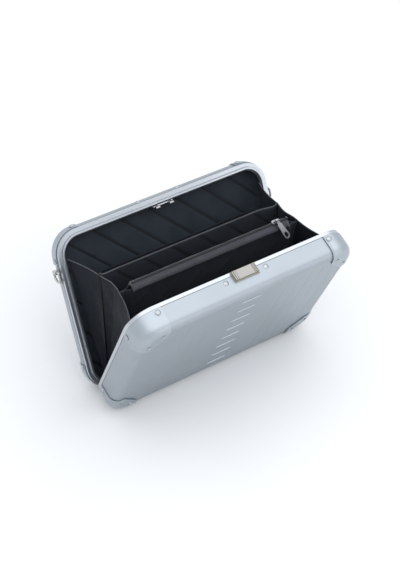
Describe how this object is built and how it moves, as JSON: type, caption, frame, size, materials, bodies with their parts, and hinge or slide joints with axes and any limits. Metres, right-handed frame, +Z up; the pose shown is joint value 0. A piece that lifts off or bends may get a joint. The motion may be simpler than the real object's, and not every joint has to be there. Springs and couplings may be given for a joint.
{
  "type": "hard shell case",
  "caption": "Slim aluminium hard-shell case standing open, with rounded corners and guards, piano hinge, fabric bellows with divider and zipped pocket, and slide latch.",
  "frame": {"origin": "on the floor, under the middle of the open case's bounding box", "axes": "+X along the hinge to the right, +Y towards the back shell, +Z up"},
  "size_m": [0.2504, 0.1686, 0.1635],
  "materials": {
    "shell_aluminium": "soft satin, anodised",
    "frame_aluminium": "satin extrusion",
    "guard_aluminium": "satin pressed",
    "rivet_steel": "polished dome",
    "hinge_steel": "brushed",
    "latch_nickel": "satin nickel",
    "lug_nickel": "polished nickel",
    "gasket_rubber": "matt",
    "lining_fabric": "woven polyester, stitched channels",
    "divider_fabric": "woven polyester",
    "piping_fabric": "woven binding",
    "zip_tape_fabric": "herringbone tape",
    "zip_coil_plastic": "matt coil",
    "zip_metal": "satin"
  },
  "bodies": {
    "back": {"back_shell": "shell_aluminium", "back_frame": "frame_aluminium", "back_gasket": "gasket_rubber", "back_lining": "lining_fabric", "guard_back_top_left": "guard_aluminium", "guard_back_top_right": "guard_aluminium", "guard_back_bottom_left": "guard_aluminium", "guard_back_bottom_right": "guard_aluminium", "back_guard_rivets": "rivet_steel", "hinge_leaf_back": "hinge_steel", "hinge_pin": "hinge_steel", "hinge_rivets_back": "rivet_steel", "catch_plate": "hinge_steel", "catch_rivets": "rivet_steel", "strap_lug_left": "lug_nickel", "strap_lug_right": "lug_nickel", "lug_rivets": "rivet_steel", "bellows_back_panel": "divider_fabric", "bellows_floor": "divider_fabric", "gusset_left": "lining_fabric", "gusset_right": "lining_fabric"},
    "front": {"front_shell": "shell_aluminium", "front_frame": "frame_aluminium", "front_lining": "lining_fabric", "guard_front_top_left": "guard_aluminium", "guard_front_top_right": "guard_aluminium", "guard_front_bottom_left": "guard_aluminium", "guard_front_bottom_right": "guard_aluminium", "front_guard_rivets": "rivet_steel", "hinge_leaf_front": "hinge_steel", "hinge_rivets_front": "rivet_steel", "latch_base": "latch_nickel", "latch_rivets": "rivet_steel", "bellows_front_panel": "divider_fabric"},
    "latch": {"latch_slider": "latch_nickel", "latch_bar": "hinge_steel"},
    "ring_left": {"strap_ring_left": "lug_nickel"},
    "ring_right": {"strap_ring_right": "lug_nickel"},
    "divider": {"divider_panel": "divider_fabric", "divider_piping": "piping_fabric"},
    "pocket": {"pocket_back_wall": "divider_fabric", "pocket_front_wall": "divider_fabric", "pocket_bottom_binding": "divider_fabric", "zip_tape": "zip_tape_fabric", "zip_coil": "zip_coil_plastic", "zip_stops": "zip_metal"},
    "zip_slider": {"zip_slider": "zip_metal"},
    "zip_pull": {"zip_pull": "zip_metal"}
  },
  "joints": [
    {"name": "lid_hinge", "type": "hinge", "parent": "back", "child": "front", "pos_m": [0, -0.00865, 0.00734], "axis": [-1, 0, 0], "range_deg": [0, 47.6], "deforming": ["gusset_left", "gusset_right", "bellows_floor"]},
    {"name": "divider_hinge", "type": "hinge", "parent": "back", "child": "divider", "pos_m": [0, -0.00865, 0.00734], "axis": [-1, 0, 0], "range_deg": [0, 19.1]},
    {"name": "pocket_hinge", "type": "hinge", "parent": "divider", "child": "pocket", "pos_m": [0, -0.00865, 0.00734], "axis": [-1, 0, 0], "range_deg": [0, 11.5]},
    {"name": "latch_slide", "type": "slide", "parent": "front", "child": "latch", "axis": [1, 0, 0], "range_m": [0, 0.0025]},
    {"name": "ring_left_hinge", "type": "hinge", "parent": "back", "child": "ring_left", "pos_m": [-0.123, 0.05869, 0.11467], "axis": [0, 0.8759, -0.4825], "range_deg": [0, 170]},
    {"name": "ring_right_hinge", "type": "hinge", "parent": "back", "child": "ring_right", "pos_m": [0.123, 0.05869, 0.11467], "axis": [0, -0.8759, 0.4825], "range_deg": [0, 170]},
    {"name": "zip_slide", "type": "slide", "parent": "pocket", "child": "zip_slider", "axis": [1, 0, 0], "range_m": [-0.154, 0.006]},
    {"name": "pull_hinge", "type": "hinge", "parent": "zip_slider", "child": "zip_pull", "pos_m": [0.074, -0.01732, 0.15166], "axis": [1, 0, 0], "range_deg": [-250, 0]}
  ],
  "couplings": [
    {"joint": "divider_hinge", "follows": "lid_hinge", "ratio": 0.4},
    {"joint": "pocket_hinge", "follows": "lid_hinge", "ratio": 0.24}
  ]
}
